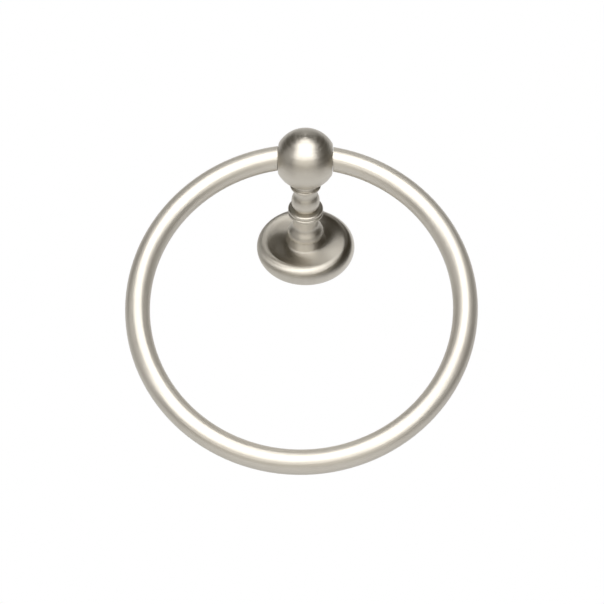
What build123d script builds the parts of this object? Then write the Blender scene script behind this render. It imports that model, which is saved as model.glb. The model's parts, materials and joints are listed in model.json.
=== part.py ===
"""Towel ring: a turned post with a ball head on a round rosette, and a ring that swings in the ball.

Millimetres. The wall is the plane Y = 0, the post reaches out along -Y, and +Z is up.
The ring is drawn swung back until its bar all but touches the wall.
"""
import os
from math import asin, cos, degrees, sin, sqrt

from build123d import *

# Ring
ring_outside_diameter = 152.4
bar_diameter = 10.75
spigot_diameter = 6.4
spigot_length = 9.5
spigot_clearance = 0.05
end_gap = 0.25
wall_gap = 0.2

# Ball head
ball_diameter = 27.5
flat_depth = 1.75
flat_edge_break = 0.25

# Post, from the seat on the rosette out to the ball
lip_diameter = 16.3
lip_height = 0.8
lip_edge_break = 0.6
ogee_length = 6.2
neck_diameter = 11.3
neck_length = 5.55
lower_bead_diameter = 16.0
lower_bead_thickness = 1.7
upper_bead_diameter = 15.8
upper_bead_thickness = 2.15
bulb_diameter = 12.7
bulb_end_diameter = 10.3
bulb_length = 8.0
throat_diameter = 9.2
throat_length = 4.9
collar_diameter = 13.8
collar_thickness = 1.5
groove_diameter = 11.2
groove_length = 3.0
ball_neck_diameter = 12.6

# Rosette
rosette_diameter = 44.5
rim_undercut = 1.2
rim_belly_height = 3.7
rim_roll_width = 4.8
rim_roll_height = 5.2
dish_depth = 0.7
boss_foot_diameter = 17.4
boss_top_diameter = 15.2
boss_height = 4.4
boss_fillet = 0.9
cavity_diameter = 31.0
cavity_depth = 4.8

# Post screw
screw_diameter = 5.0
screw_clearance = 0.2
screw_grip = 14.0
screw_head_diameter = 9.0
screw_head_height = 3.0
screw_head_clearance = 0.5
screw_hex = 4.0
screw_hex_depth = 1.8
thread_clearance = 0.05
tapped_hole_spare = 2.0

# Wall bracket
bracket_back_diameter = 25.2
bracket_front_diameter = 28.8
bracket_depth = 4.2
bracket_thickness = 1.5
slot_spacing = 14.0
slot_width = 4.6
slot_length = 7.0

# Grub screw
grub_diameter = 4.0
grub_reach = 3.2
grub_recess = 1.0
grub_point_length = 1.3
grub_point_diameter = 1.4
grub_contact_gap = 0.05
grub_hex = 2.0
grub_hex_depth = 2.0

# Worked out from the sizes above
bar_radius = bar_diameter / 2
ring_radius = ring_outside_diameter / 2 - bar_radius
ball_radius = ball_diameter / 2
flat_reach = ball_radius - flat_depth
lip_radius = lip_diameter / 2
neck_radius = neck_diameter / 2
lower_bead_round = lower_bead_thickness / 2
lower_bead_core = lower_bead_diameter / 2 - lower_bead_round
upper_bead_round = upper_bead_thickness / 2
upper_bead_core = upper_bead_diameter / 2 - upper_bead_round
bulb_end_radius = bulb_end_diameter / 2
collar_round = collar_thickness / 2
collar_core = collar_diameter / 2 - collar_round
ball_neck_radius = ball_neck_diameter / 2
rosette_radius = rosette_diameter / 2
rim_foot = rosette_radius - rim_undercut
rim_crest = rosette_radius - rim_roll_width
boss_foot = boss_foot_diameter / 2
boss_top = boss_top_diameter / 2
cavity_radius = cavity_diameter / 2

# Distances from the wall along the post
crest_reach = rim_belly_height + rim_roll_height
dish_reach = crest_reach - dish_depth
seat_reach = dish_reach + boss_height
lip_reach = seat_reach + lip_height
ogee_reach = lip_reach + ogee_length
bead_reach = ogee_reach + neck_length
crease_reach = bead_reach + lower_bead_thickness
bulb_reach = crease_reach + upper_bead_thickness
throat_reach = bulb_reach + bulb_length
collar_reach = throat_reach + throat_length
groove_reach = collar_reach + collar_thickness
ball_start = groove_reach + groove_length
ball_reach = ball_start + sqrt(ball_radius**2 - ball_neck_radius**2)

# The bar's ends stand on the hinge line, just clear of the ball's flats
bar_end = flat_reach + end_gap
ring_drop = sqrt(ring_radius**2 - bar_end**2)
swing_back = asin((ball_reach - bar_radius - wall_gap) / (ring_drop + ring_radius))

hinge = Vector(0, -ball_reach, 0)
down_the_ring = Vector(0, sin(swing_back), -cos(swing_back))
ring_normal = Vector(0, -cos(swing_back), -sin(swing_back))
ring_centre = hinge + down_the_ring * ring_drop
ring_low_point = ring_centre + down_the_ring * ring_radius


# Post: one turning with the ball on its end, drilled across for the ring and tapped for its screw
with BuildPart() as post:
    with BuildSketch(Plane.XY):
        with BuildLine():
            Line((0, -seat_reach), (lip_radius, -seat_reach))
            Line((lip_radius, -seat_reach), (lip_radius, -lip_reach))
            Spline(
                (lip_radius, -lip_reach),
                (neck_radius, -ogee_reach),
                tangents=((0, -1), (0, -1)),
            )
            Line((neck_radius, -ogee_reach), (neck_radius, -bead_reach))
            Line((neck_radius, -bead_reach), (lower_bead_core, -bead_reach))
            ThreePointArc(
                (lower_bead_core, -bead_reach),
                (lower_bead_core + lower_bead_round, -bead_reach - lower_bead_round),
                (lower_bead_core, -crease_reach),
            )
            Line((lower_bead_core, -crease_reach), (upper_bead_core, -crease_reach))
            ThreePointArc(
                (upper_bead_core, -crease_reach),
                (upper_bead_core + upper_bead_round, -crease_reach - upper_bead_round),
                (upper_bead_core, -bulb_reach),
            )
            Line((upper_bead_core, -bulb_reach), (bulb_end_radius, -bulb_reach))
            ThreePointArc(
                (bulb_end_radius, -bulb_reach),
                (bulb_diameter / 2, -bulb_reach - bulb_length / 2),
                (bulb_end_radius, -throat_reach),
            )
            ThreePointArc(
                (bulb_end_radius, -throat_reach),
                (throat_diameter / 2, -throat_reach - throat_length / 2),
                (bulb_end_radius, -collar_reach),
            )
            Line((bulb_end_radius, -collar_reach), (collar_core, -collar_reach))
            ThreePointArc(
                (collar_core, -collar_reach),
                (collar_core + collar_round, -collar_reach - collar_round),
                (collar_core, -groove_reach),
            )
            ThreePointArc(
                (collar_core, -groove_reach),
                (groove_diameter / 2, -groove_reach - groove_length / 2),
                (ball_neck_radius, -ball_start),
            )
            ThreePointArc(
                (ball_neck_radius, -ball_start),
                (ball_radius, -ball_reach),
                (0, -ball_reach - ball_radius),
            )
            Line((0, -ball_reach - ball_radius), (0, -seat_reach))
        make_face()
    revolve(axis=Axis.Y)
    lip_edge = post.edges().filter_by(GeomType.CIRCLE).sort_by(Axis.Y)[-1]
    fillet(lip_edge, radius=lip_edge_break)
    for side in (-1, 1):
        with BuildSketch(Plane.YZ.offset(side * flat_reach)):
            with Locations((-ball_reach, 0)):
                Circle(ball_radius)
        extrude(amount=side * ball_radius, mode=Mode.SUBTRACT)
    chamfer(
        post.faces().filter_by(Axis.X).edges(),
        length=flat_edge_break,
    )
    with BuildSketch(Plane.YZ):
        with Locations((-ball_reach, 0)):
            Circle(spigot_diameter / 2 + spigot_clearance)
    extrude(amount=ball_radius, both=True, mode=Mode.SUBTRACT)
    with BuildSketch(Plane.XZ.offset(seat_reach)):
        Circle(screw_diameter / 2 + thread_clearance)
    extrude(amount=screw_grip - boss_height + tapped_hole_spare, mode=Mode.SUBTRACT)

# Rosette: a rolled rim round a shallow dish, a coned boss that carries the post, and a hollow back
counterbore_reach = cavity_depth + screw_head_height + screw_head_clearance / 2
with BuildPart() as rosette:
    with BuildSketch(Plane.XY):
        with BuildLine():
            Line((cavity_radius, 0), (rim_foot, 0))
            TangentArc(
                (rosette_radius, -rim_belly_height),
                (rim_foot, 0),
                tangent=(0, 1),
            )
            EllipticalCenterArc(
                (rim_crest, -rim_belly_height),
                x_radius=rim_roll_width,
                y_radius=rim_roll_height,
                start_angle=270,
                arc_size=90,
            )
            Spline(
                (boss_foot, -dish_reach),
                (rim_crest, -crest_reach),
                tangents=((1, 0), (1, 0)),
            )
            Line((boss_foot, -dish_reach), (boss_top, -seat_reach))
            Line((boss_top, -seat_reach), (0, -seat_reach))
            Line((0, -seat_reach), (0, -cavity_depth))
            Line((0, -cavity_depth), (cavity_radius, -cavity_depth))
            Line((cavity_radius, -cavity_depth), (cavity_radius, 0))
        make_face()
    revolve(axis=Axis.Y)
    foot_edge = rosette.edges().filter_by(GeomType.CIRCLE).sort_by_distance((boss_foot, -dish_reach, 0))[0]
    fillet(foot_edge, radius=boss_fillet)
    with BuildSketch(Plane.XZ.offset(cavity_depth)):
        Circle(screw_head_diameter / 2 + screw_head_clearance)
    extrude(amount=counterbore_reach - cavity_depth, mode=Mode.SUBTRACT)
    with BuildSketch(Plane.XZ.offset(counterbore_reach)):
        Circle(screw_diameter / 2 + screw_clearance)
    extrude(amount=seat_reach - counterbore_reach, mode=Mode.SUBTRACT)
    with BuildSketch(Plane.XY):
        with Locations((0, -grub_reach)):
            Circle(grub_diameter / 2 + thread_clearance)
    extrude(amount=rosette_radius, mode=Mode.SUBTRACT)

# Ring: one bent round bar, faced square at the ball, with a turned spigot on each end
with BuildPart() as ring:
    with BuildSketch(Plane(origin=ring_low_point, z_dir=(1, 0, 0))):
        Circle(bar_radius)
    revolve(axis=Axis(ring_centre, ring_normal))
    with BuildSketch(Plane.YZ):
        with Locations((-ball_reach, 0)):
            Circle(bar_diameter)
    extrude(amount=bar_end, both=True, mode=Mode.SUBTRACT)
    for side in (-1, 1):
        with BuildSketch(Plane.YZ.offset(side * (bar_end - spigot_length))):
            with Locations((-ball_reach, 0)):
                Circle(spigot_diameter / 2)
        extrude(amount=side * (spigot_length + bar_radius / 2))

# Post screw: goes in from the back, through the boss and into the post
with BuildPart() as post_screw:
    with BuildSketch(Plane.XZ.offset(counterbore_reach - screw_head_height)):
        Circle(screw_head_diameter / 2)
    extrude(amount=screw_head_height)
    with BuildSketch(Plane.XZ.offset(counterbore_reach)):
        Circle(screw_diameter / 2)
    extrude(amount=seat_reach - counterbore_reach + screw_grip - boss_height)
    with BuildSketch(Plane.XZ.offset(counterbore_reach - screw_head_height)):
        RegularPolygon(radius=screw_hex / 2, side_count=6, major_radius=False)
    extrude(amount=screw_hex_depth, mode=Mode.SUBTRACT)

# Wall bracket: a pressed cup whose wall flares outward, so that the grub screw draws the rosette in
bracket_back = bracket_back_diameter / 2
bracket_front = bracket_front_diameter / 2
with BuildPart() as wall_bracket:
    with BuildSketch(Plane.XY):
        with BuildLine():
            Polyline(
                (0, 0),
                (bracket_back, 0),
                (bracket_front, -bracket_depth),
                (bracket_front - bracket_thickness, -bracket_depth),
                (bracket_back - bracket_thickness, -bracket_thickness),
                (0, -bracket_thickness),
                close=True,
            )
        make_face()
    revolve(axis=Axis.Y)
    with BuildSketch(Plane.XZ):
        with GridLocations(0, slot_spacing, 1, 2):
            SlotOverall(slot_length, slot_width, rotation=90)
    extrude(amount=bracket_thickness, mode=Mode.SUBTRACT)

# Grub screw: stands in the top of the rim, where it is out of sight, and bears on the bracket
flare = (bracket_front - bracket_back) / bracket_depth
grub_point = bracket_back + flare * (grub_reach + grub_point_diameter / 2) + grub_contact_gap
grub_shoulder = grub_point + grub_point_length
rim_at_grub = rim_crest + rim_roll_width * sqrt(1 - ((grub_reach - rim_belly_height) / rim_roll_height)**2)
grub_end = rim_at_grub - grub_recess
with BuildPart() as grub_screw:
    with BuildSketch(Plane.YZ):
        with BuildLine():
            Polyline(
                (-grub_reach, grub_point),
                (-grub_reach + grub_point_diameter / 2, grub_point),
                (-grub_reach + grub_diameter / 2, grub_shoulder),
                (-grub_reach + grub_diameter / 2, grub_end),
                (-grub_reach, grub_end),
                close=True,
            )
        make_face()
    revolve(axis=Axis((0, -grub_reach, 0), (0, 0, 1)))
    with BuildSketch(Plane.XY.offset(grub_end)):
        with Locations((0, -grub_reach)):
            RegularPolygon(radius=grub_hex / 2, side_count=6, major_radius=False)
    extrude(amount=-grub_hex_depth, mode=Mode.SUBTRACT)

# One file for each piece
os.makedirs("parts", exist_ok=True)
post.part.label = "post"
export_step(post.part, "parts/post.step")
rosette.part.label = "rosette"
export_step(rosette.part, "parts/rosette.step")
ring.part.label = "ring"
export_step(ring.part, "parts/ring.step")
post_screw.part.label = "post_screw"
export_step(post_screw.part, "parts/post_screw.step")
wall_bracket.part.label = "wall_bracket"
export_step(wall_bracket.part, "parts/wall_bracket.step")
grub_screw.part.label = "grub_screw"
export_step(grub_screw.part, "parts/grub_screw.step")

print(f"ball centre {ball_reach:.3f} from the wall, ring centre {ring_centre.Y:.3f} {ring_centre.Z:.3f}")
print(f"ring swung back {degrees(swing_back):.3f} degrees")
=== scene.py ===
# %% [markdown]
# # A towel ring in satin nickel
#
# The real object is a turned brass post with a ball head, a round rosette against the wall and a
# round bar bent to a ring that swings in the ball. All of it is nickel plated and finished satin.
# The solids come from the CAD model with every size settled, so this lesson gives them their
# finish, the light and the camera. Everything is in metres: the wall is the plane Y = 0, the post
# reaches out along -Y, and +Z is up.

# %% Load the solids
import json
import math

import bpy
from mathutils import Matrix, Vector


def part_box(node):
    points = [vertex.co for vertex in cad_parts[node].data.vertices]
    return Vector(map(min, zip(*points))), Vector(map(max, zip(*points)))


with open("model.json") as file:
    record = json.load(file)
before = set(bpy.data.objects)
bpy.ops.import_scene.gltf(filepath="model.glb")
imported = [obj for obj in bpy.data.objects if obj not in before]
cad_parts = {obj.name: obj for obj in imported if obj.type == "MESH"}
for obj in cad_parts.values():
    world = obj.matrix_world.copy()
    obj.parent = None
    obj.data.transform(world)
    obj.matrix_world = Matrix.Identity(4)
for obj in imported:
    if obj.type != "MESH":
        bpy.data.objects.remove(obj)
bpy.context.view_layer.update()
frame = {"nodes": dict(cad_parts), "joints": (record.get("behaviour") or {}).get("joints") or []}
MM = 0.001
print("nodes:", sorted(frame["nodes"]))

# %% [markdown]
# ## The camera
#
# The picture looks up at the ring from below and in front. A long lens far away keeps the ring's
# circle round, as a product photographer would. The place comes from a fit of the ring's, ball's
# and rosette's outlines: about 43.5 degrees below the post's axis, turned a little about that axis
# and rolled by a quarter of a degree.

# %% Set up the camera
IMAGE_SIDE_PX = 604
FOCAL_PX = 2671.2
SENSOR_MM = 36.0
CAMERA_DISTANCE = 1.2
CAMERA_TILT = math.radians(43.55)
CAMERA_TURN = math.radians(1.88)
CAMERA_ROLL = math.radians(-0.27)
AIM = Vector((-1.82, 0.0, -31.5)) * MM

forward = Vector((0, math.cos(CAMERA_TILT), math.sin(CAMERA_TILT)))
upward = Vector((0, -math.sin(CAMERA_TILT), math.cos(CAMERA_TILT)))
rightward = Vector((1, 0, 0))
place = Matrix.Translation(AIM - forward * CAMERA_DISTANCE)
turn_to_axes = Matrix((rightward, upward, -forward)).transposed().to_4x4()

camera = bpy.data.objects.new("camera", bpy.data.cameras.new("camera"))
camera.data.sensor_width = SENSOR_MM
camera.data.lens = FOCAL_PX / IMAGE_SIDE_PX * SENSOR_MM
turn = Matrix.Rotation(CAMERA_TURN, 4, (0, -1, 0))
roll = Matrix.Rotation(CAMERA_ROLL, 4, "Z")
camera.matrix_world = turn @ place @ turn_to_axes @ roll
bpy.context.scene.collection.objects.link(camera)
bpy.context.scene.camera = camera
print("lens in mm:", round(camera.data.lens, 1))

# %% [markdown]
# ## Colours and nodes
#
# Colours are written as sRGB hex, as a colour picker shows them, and one function turns them to the
# linear values that a shader works with. One more function adds a node with its settings and links.

# %% Two helpers
def linear(hex_colour):
    channels = [int(hex_colour[i:i + 2], 16) / 255 for i in (1, 3, 5)]
    return [c / 12.92 if c <= 0.04045 else ((c + 0.055) / 1.055) ** 2.4 for c in channels] + [1.0]


def add_node(tree, kind, inputs=None, **settings):
    node = tree.nodes.new(kind)
    for name, value in settings.items():
        setattr(node, name, value)
    for name, value in (inputs or {}).items():
        if isinstance(value, bpy.types.NodeSocket):
            tree.links.new(value, node.inputs[name])
        else:
            node.inputs[name].default_value = value
    return node


print("mid grey is", [round(v, 3) for v in linear("#808080")])

# %% [markdown]
# ## A satin metal
#
# Every piece is bare metal, and the nickel was rubbed with an abrasive that leaves fine scratches all
# one way. Three things follow, whatever the piece: the scratches spread the light across themselves,
# they make the gloss a little uneven, and their edges stand up. So one function builds a metal from a
# fine pattern and a slow blotch, and each piece brings its own. Real scratches stand a few hundredths
# of a millimetre apart and are a tenth as deep, too fine for this picture. They are drawn about half
# a millimetre apart, and about as steep as the real ones, so that they just show.

# %% Build a metal from a scratch pattern
NOISE_LOW, NOISE_HIGH = 0.3, 0.7  # a noise seldom leaves this middle part of its range


def satin_metal(tree, shades, roughness, scratch, blotch, depth):
    shader = tree.nodes["Principled BSDF"]
    shader.inputs["Metallic"].default_value = 1.0
    # sockets 6 and 7 are the mix node's pair of colours, and output 2 is its colour
    tone = add_node(
        tree, "ShaderNodeMix", {0: blotch, 6: linear(shades[0]), 7: linear(shades[1])}, data_type="RGBA"
    )
    gloss = add_node(
        tree, "ShaderNodeMapRange",
        {
            "Value": scratch, "From Min": NOISE_LOW, "From Max": NOISE_HIGH,
            "To Min": roughness[0], "To Max": roughness[1],
        },
    )
    bump = add_node(tree, "ShaderNodeBump", {"Height": scratch, "Strength": 1.0, "Distance": depth})
    tree.links.new(tone.outputs[2], shader.inputs["Base Color"])
    tree.links.new(gloss.outputs["Result"], shader.inputs["Roughness"])
    tree.links.new(bump.outputs["Normal"], shader.inputs["Normal"])
    return shader


def new_material(name):
    material = bpy.data.materials.new(name)
    material.use_nodes = True
    return material, material.node_tree


def wear(material, *names):
    for name in names:
        piece = frame["nodes"][name]
        for slot in piece.material_slots:
            slot.material = material
        print(name, "wears", material.name, "on", len(piece.data.polygons), "faces")


NICKEL = ("#D5D0C6", "#CAC4B9")
print("nickel runs from", NICKEL[0], "to", NICKEL[1])

# %% [markdown]
# ## The post
#
# The post was turned in a lathe and rubbed while it spun, so its scratches are circles round its
# axis. A circle has one distance from the axis and one place along it, and a noise over these two
# numbers is therefore the same all the way round.

# %% Turned satin nickel: long soft bands of light across the circles
SCRATCH_PITCH = 0.6 * MM
SCRATCH_DEPTH = SCRATCH_PITCH / 12
SCRATCH_DETAIL = 2
BLOTCH_SIZE = 12 * MM
BLOTCH_DETAIL = 3
TURNED_ROUGHNESS = (0.33, 0.45)
TURNED_SPREAD = 0.4
ACROSS = 0.25  # a quarter turn: the light spreads across the scratches, not along them

turned, tree = new_material("turned_satin_nickel")
spot = add_node(tree, "ShaderNodeTexCoord").outputs["Object"]
flat = add_node(tree, "ShaderNodeVectorMath", {0: spot, 1: (1, 0, 1)}, operation="MULTIPLY")
distance = add_node(tree, "ShaderNodeVectorMath", {0: flat.outputs[0]}, operation="LENGTH")
parts = add_node(tree, "ShaderNodeSeparateXYZ", {0: spot})
circle = add_node(tree, "ShaderNodeCombineXYZ", {"X": distance.outputs["Value"], "Y": parts.outputs["Y"]})
scratch = add_node(
    tree, "ShaderNodeTexNoise",
    {"Vector": circle.outputs[0], "Scale": 1 / SCRATCH_PITCH, "Detail": SCRATCH_DETAIL},
)
blotch = add_node(
    tree, "ShaderNodeTexNoise", {"Vector": spot, "Scale": 1 / BLOTCH_SIZE, "Detail": BLOTCH_DETAIL}
)
shader = satin_metal(
    tree, NICKEL, TURNED_ROUGHNESS, scratch.outputs[0], blotch.outputs[0], SCRATCH_DEPTH
)
around = add_node(tree, "ShaderNodeTangent", direction_type="RADIAL", axis="Y")
tree.links.new(around.outputs[0], shader.inputs["Tangent"])
shader.inputs["Anisotropic"].default_value = TURNED_SPREAD
shader.inputs["Anisotropic Rotation"].default_value = ACROSS
wear(turned, "post")

# %% [markdown]
# ## The rosette
#
# The rosette was rubbed by a pad that moved outward while the rosette spun, so its scratches are
# spirals. That is why its dish shows a bow tie of light that lies askew. The pad set off slowly at the
# foot of the boss and gained speed, so a scratch starts there as a circle and leans more the further
# out it is. If its way out from the foot grows by GAIN times itself for each radian of turn, its angle
# is the logarithm of that way over GAIN, and its slope against the circle is GAIN times that way over
# the radius. One noise follows the angle, and the tangent of the gloss follows the slope. The rolled
# rim was buffed once more, so it mirrors a little more sharply than the dish.

# %% Spun satin nickel: scratches that wind outward
FOOT_RADIUS = 8.7 * MM
GAIN = 2.0
LEAST_WAY = 0.1 * MM  # keeps the logarithm's number above zero, also under the post
SCRATCHES_AROUND = 120  # about 0.45 mm apart half way out on the dish
SPUN_ROUGHNESS = (0.40, 0.46)

spun, tree = new_material("spun_satin_nickel")
spot = add_node(tree, "ShaderNodeTexCoord").outputs["Object"]
flat = add_node(tree, "ShaderNodeVectorMath", {0: spot, 1: (1, 0, 1)}, operation="MULTIPLY")
distance = add_node(tree, "ShaderNodeVectorMath", {0: flat.outputs[0]}, operation="LENGTH")
radius = distance.outputs["Value"]
past_foot = add_node(tree, "ShaderNodeMath", {0: radius, 1: FOOT_RADIUS}, operation="SUBTRACT")
way_out = add_node(tree, "ShaderNodeMath", {0: past_foot.outputs[0], 1: LEAST_WAY}, operation="MAXIMUM")
log_way = add_node(tree, "ShaderNodeMath", {0: way_out.outputs[0], 1: math.e}, operation="LOGARITHM")
lag = add_node(tree, "ShaderNodeMath", {0: log_way.outputs[0], 1: 1 / GAIN}, operation="MULTIPLY")
unwound = add_node(
    tree, "ShaderNodeVectorRotate", {"Vector": flat.outputs[0], "Angle": lag.outputs[0], "Axis": (0, 1, 0)}
)
rim_point = add_node(tree, "ShaderNodeVectorMath", {0: unwound.outputs[0]}, operation="NORMALIZE")
scratch = add_node(
    tree, "ShaderNodeTexNoise",
    {
        "Vector": rim_point.outputs[0], "Scale": SCRATCHES_AROUND / (2 * math.pi),
        "Detail": SCRATCH_DETAIL,
    },
)
blotch = add_node(
    tree, "ShaderNodeTexNoise", {"Vector": spot, "Scale": 1 / BLOTCH_SIZE, "Detail": BLOTCH_DETAIL}
)
shader = satin_metal(
    tree, NICKEL, SPUN_ROUGHNESS, scratch.outputs[0], blotch.outputs[0], SCRATCH_DEPTH
)
wear(spun, "rosette")

# %% Buff the rim
RIM_WIDTH = 5.25 * MM
RIM_FADE = 2 * MM
RIM_BUFFING = 0.08

rosette_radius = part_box("rosette")[1][0]
rim_start = rosette_radius - RIM_WIDTH
on_rim = add_node(
    tree, "ShaderNodeMapRange",
    {
        "Value": radius, "To Max": RIM_BUFFING,
        "From Min": rim_start - RIM_FADE / 2, "From Max": rim_start + RIM_FADE / 2,
    },
)
dish_gloss = shader.inputs["Roughness"].links[0].from_socket
buffed = add_node(
    tree, "ShaderNodeMath", {0: dish_gloss, 1: on_rim.outputs["Result"]}, operation="SUBTRACT"
)
tree.links.new(buffed.outputs[0], shader.inputs["Roughness"])
print("rim is buffed from", round(rim_start / MM, 2), "mm out")

# %% Lean the gloss with the scratches: a bow tie of light on the dish
SPUN_SPREAD = 0.97

around = add_node(tree, "ShaderNodeTangent", direction_type="RADIAL", axis="Y")
share = add_node(tree, "ShaderNodeMath", {0: way_out.outputs[0], 1: radius}, operation="DIVIDE")
slope = add_node(tree, "ShaderNodeMath", {0: share.outputs[0], 1: -GAIN}, operation="MULTIPLY")
lean = add_node(tree, "ShaderNodeMath", {0: slope.outputs[0]}, operation="ARCTANGENT")
facing = add_node(tree, "ShaderNodeNewGeometry").outputs["Normal"]
spiral = add_node(
    tree, "ShaderNodeVectorRotate", {"Vector": around.outputs[0], "Angle": lean.outputs[0], "Axis": facing}
)
tree.links.new(spiral.outputs[0], shader.inputs["Tangent"])
shader.inputs["Anisotropic"].default_value = SPUN_SPREAD
shader.inputs["Anisotropic Rotation"].default_value = ACROSS
rim_lean = math.atan(GAIN * (rosette_radius - FOOT_RADIUS) / rosette_radius)
print("scratches lean by", round(math.degrees(rim_lean)), "degrees at the rosette's edge")

# %% [markdown]
# ## The ring
#
# The bar was drawn through a die and rubbed lengthwise before it was bent, so its scratches follow
# it round the ring. Their direction at any spot is square to the ring's axis and to the line from
# the ring's middle, which a cross product gives. The lengthwise rub also leaves a pale haze, which
# lifts the dark sides of the bar to grey. A paler nickel and less than full metal stand for it.

# %% Find the ring's middle and axis
low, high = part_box("ring")
hinge = Vector(frame["joints"][0]["pos_m"])
ring_middle = Vector((0, (low[1] + high[1]) / 2, (low[2] + high[2]) / 2))
ring_axis = Vector((1, 0, 0)).cross(ring_middle - hinge).normalized()
print("ring middle in mm", [round(v / MM, 2) for v in ring_middle])
print("ring axis", [round(v, 3) for v in ring_axis])

# %% Drawn satin nickel: a band of light along the bar
SCRATCH_LENGTH = 30 * MM
HAZY_NICKEL = ("#DCD7CD", "#D1CBC0")
DRAWN_ROUGHNESS = (0.28, 0.38)
DRAWN_SPREAD = 0.7
METAL_SHARE = 0.7

drawn, tree = new_material("drawn_satin_nickel")
spot = add_node(tree, "ShaderNodeTexCoord").outputs["Object"]
from_middle = add_node(tree, "ShaderNodeVectorMath", {0: spot, 1: ring_middle}, operation="SUBTRACT")
offset = from_middle.outputs[0]
height = add_node(tree, "ShaderNodeVectorMath", {0: offset, 1: ring_axis}, operation="DOT_PRODUCT")
distance = add_node(tree, "ShaderNodeVectorMath", {0: offset}, operation="LENGTH")
across = add_node(
    tree, "ShaderNodeCombineXYZ", {"X": distance.outputs["Value"], "Y": height.outputs["Value"]}
)
fine = add_node(
    tree, "ShaderNodeVectorMath", {0: across.outputs[0], "Scale": 1 / SCRATCH_PITCH}, operation="SCALE"
)
coarse = add_node(tree, "ShaderNodeVectorMath", {0: spot, "Scale": 1 / SCRATCH_LENGTH}, operation="SCALE")
lengthwise = add_node(
    tree, "ShaderNodeVectorMath", {0: fine.outputs[0], 1: coarse.outputs[0]}, operation="ADD"
)
scratch = add_node(
    tree, "ShaderNodeTexNoise",
    {"Vector": lengthwise.outputs[0], "Scale": 1.0, "Detail": SCRATCH_DETAIL},
)
blotch = add_node(
    tree, "ShaderNodeTexNoise", {"Vector": spot, "Scale": 1 / BLOTCH_SIZE, "Detail": BLOTCH_DETAIL}
)
shader = satin_metal(
    tree, HAZY_NICKEL, DRAWN_ROUGHNESS, scratch.outputs[0], blotch.outputs[0], SCRATCH_DEPTH
)
along = add_node(tree, "ShaderNodeVectorMath", {0: offset, 1: ring_axis}, operation="CROSS_PRODUCT")
heading = add_node(
    tree, "ShaderNodeVectorTransform", {"Vector": along.outputs[0]},
    vector_type="VECTOR", convert_from="OBJECT", convert_to="WORLD",
)
tree.links.new(heading.outputs[0], shader.inputs["Tangent"])
shader.inputs["Metallic"].default_value = METAL_SHARE
shader.inputs["Anisotropic"].default_value = DRAWN_SPREAD
shader.inputs["Anisotropic Rotation"].default_value = ACROSS
wear(drawn, "ring")

# %% [markdown]
# ## The hidden steel
#
# The bracket is pressed from sheet and the screws are rolled, and all three are zinc plated. Zinc
# settles in small grains, so the steel looks faintly mottled and bluish beside the nickel.

# %% Zinc plated steel: a faint bluish mottle
ZINC = ("#B9BEC6", "#A4A9B0")
ZINC_ROUGHNESS = (0.34, 0.46)
GRAIN_SIZE = 1.2 * MM
GRAIN_DEPTH = 0.01 * MM
GRAIN_DETAIL = 4

zinc, tree = new_material("zinc_plated_steel")
spot = add_node(tree, "ShaderNodeTexCoord").outputs["Object"]
grain = add_node(tree, "ShaderNodeTexVoronoi", {"Vector": spot, "Scale": 1 / GRAIN_SIZE})
haze = add_node(
    tree, "ShaderNodeTexNoise", {"Vector": spot, "Scale": 1 / GRAIN_SIZE, "Detail": GRAIN_DETAIL}
)
satin_metal(tree, ZINC, ZINC_ROUGHNESS, haze.outputs[0], grain.outputs["Distance"], GRAIN_DEPTH)
wear(zinc, "post_screw", "wall_bracket", "grub_screw")

# %% [markdown]
# ## The light
#
# A metal shows little of its own, only what it mirrors, so each lamp is placed for its reflection.
# An oval soft box at the height of the ball makes the bright spot on it and the bright band along the
# bar. A wide box below it fills the undersides and lights the floor. Two dim cards, one on the left
# and one overhead, keep those sides from going black. A box's power is worked out from its area, so
# it looks as bright in the metal at any size.

# %% Hang the soft boxes
def soft_box(name, place, width, height, radiance, aim=None, shape="RECTANGLE"):
    lamp = bpy.data.lights.new(name, "AREA")
    lamp.shape = shape
    lamp.size = width
    lamp.size_y = height
    area = width * height * (math.pi / 4 if shape == "ELLIPSE" else 1)
    lamp.energy = radiance * math.pi * area
    box = bpy.data.objects.new(name, lamp)
    box.location = place
    ahead = Vector(aim) - Vector(place) if aim else Vector((0, 1, 0))
    box.rotation_euler = ahead.to_track_quat("-Z", "Y").to_euler()
    box.visible_camera = False
    bpy.context.scene.collection.objects.link(box)
    print(name, "is", width, "by", height, "m and gives", round(lamp.energy, 1), "W")


soft_box("high_box", (0.0, -1.3, 0.1), width=1.6, height=1.2, radiance=2.5, shape="ELLIPSE")
soft_box("low_box", (-0.05, -1.3, -0.88), width=2.5, height=0.84, radiance=2.7)
soft_box("left_card", (-1.2, -0.45, -0.2), width=1.0, height=0.9, radiance=0.35, aim=(0, 0, 0))
soft_box("top_card", (0, -0.55, 1.1), width=0.9, height=0.5, radiance=0.35, aim=(0, 0, 0))

# %% [markdown]
# ## The room
#
# To the camera the world is plain white. In the metal it is pale behind the object, as a white wall
# would be, and dim in front and at the sides, so that the metal has something dark to show as well.
# The wall's edge is soft, and its reflection begins a little later at the sides than above and below.

# %% Set a pale wall behind the object
WALL_LEVEL = 0.85
WALL_EDGE = (-0.1, 0.3)
WALL_BULGE = (-0.2, 0, 0.2)  # narrows the wall sideways and widens it upward and downward

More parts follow.
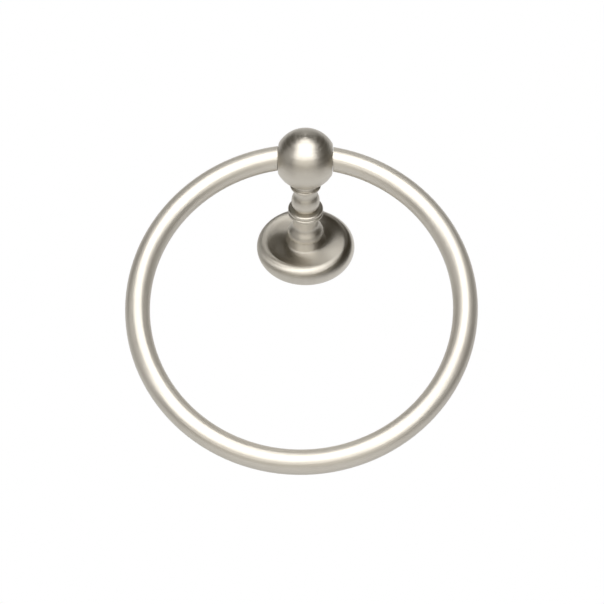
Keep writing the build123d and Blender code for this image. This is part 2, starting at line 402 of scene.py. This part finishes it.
world = bpy.data.worlds.new("studio")
bpy.context.scene.world = world
world.use_nodes = True
tree = world.node_tree
tree.nodes.clear()
direction = add_node(tree, "ShaderNodeTexCoord")
either_side = add_node(
    tree, "ShaderNodeVectorMath", {0: direction.outputs["Generated"]}, operation="ABSOLUTE"
)
bulge = add_node(
    tree, "ShaderNodeVectorMath", {0: either_side.outputs[0], 1: WALL_BULGE}, operation="DOT_PRODUCT"
)
parts = add_node(tree, "ShaderNodeSeparateXYZ", {0: direction.outputs["Generated"]})
inward = add_node(
    tree, "ShaderNodeMath", {0: parts.outputs["Y"], 1: bulge.outputs["Value"]}, operation="ADD"
)
behind = add_node(
    tree, "ShaderNodeMapRange",
    {
        "Value": inward.outputs[0], "From Min": WALL_EDGE[0], "From Max": WALL_EDGE[1],
        "To Max": WALL_LEVEL,
    },
    interpolation_type="SMOOTHSTEP",
)
print("wall has", len(tree.nodes), "nodes")

# %% Paint the world
DIM_ROOM = "#383327"
WHITE = "#FFFFFF"

path = add_node(tree, "ShaderNodeLightPath")
bent = add_node(
    tree, "ShaderNodeMath", {0: path.outputs["Is Glossy Ray"], 1: path.outputs["Is Transmission Ray"]},
    operation="MAXIMUM",
)
mirrored = add_node(
    tree, "ShaderNodeMath", {0: bent.outputs[0], 1: behind.outputs["Result"]}, operation="MULTIPLY"
)
seen = add_node(
    tree, "ShaderNodeMath", {0: path.outputs["Is Camera Ray"], 1: mirrored.outputs[0]}, operation="MAXIMUM"
)
room = add_node(
    tree, "ShaderNodeMix", {0: seen.outputs[0], 6: linear(DIM_ROOM), 7: linear(WHITE)}, data_type="RGBA"
)
background = add_node(tree, "ShaderNodeBackground", {"Color": room.outputs[2], "Strength": 1.0})
add_node(tree, "ShaderNodeOutputWorld", {"Surface": background.outputs["Background"]})
bpy.context.scene.view_settings.view_transform = "Standard"
print("world has", len(tree.nodes), "nodes")

# %% [markdown]
# ## The floor
#
# A pale floor lies 1.4 m under the post and ends at the wall. The picture looks up and past it, but
# the undersides of the ball, the bar and the rim mirror it, and it takes the object's shadow.

# %% Lay the floor
FLOOR_Z = -1.4
FLOOR_HALF = 1.6
FLOOR_COLOUR = "#EFEAE0"
FLOOR_ROUGHNESS = 0.9

mesh = bpy.data.meshes.new("floor")
corners = [(-1, -2), (1, -2), (1, 0), (-1, 0)]
mesh.from_pydata([(x * FLOOR_HALF, y * FLOOR_HALF, FLOOR_Z) for x, y in corners], [], [(0, 1, 2, 3)])
floor_plane = bpy.data.objects.new("floor", mesh)
bpy.context.scene.collection.objects.link(floor_plane)
pale, tree = new_material("pale_floor")
shader = tree.nodes["Principled BSDF"]
shader.inputs["Base Color"].default_value = linear(FLOOR_COLOUR)
shader.inputs["Roughness"].default_value = FLOOR_ROUGHNESS
mesh.materials.append(pale)
print("floor lies", -FLOOR_Z, "m below the post")
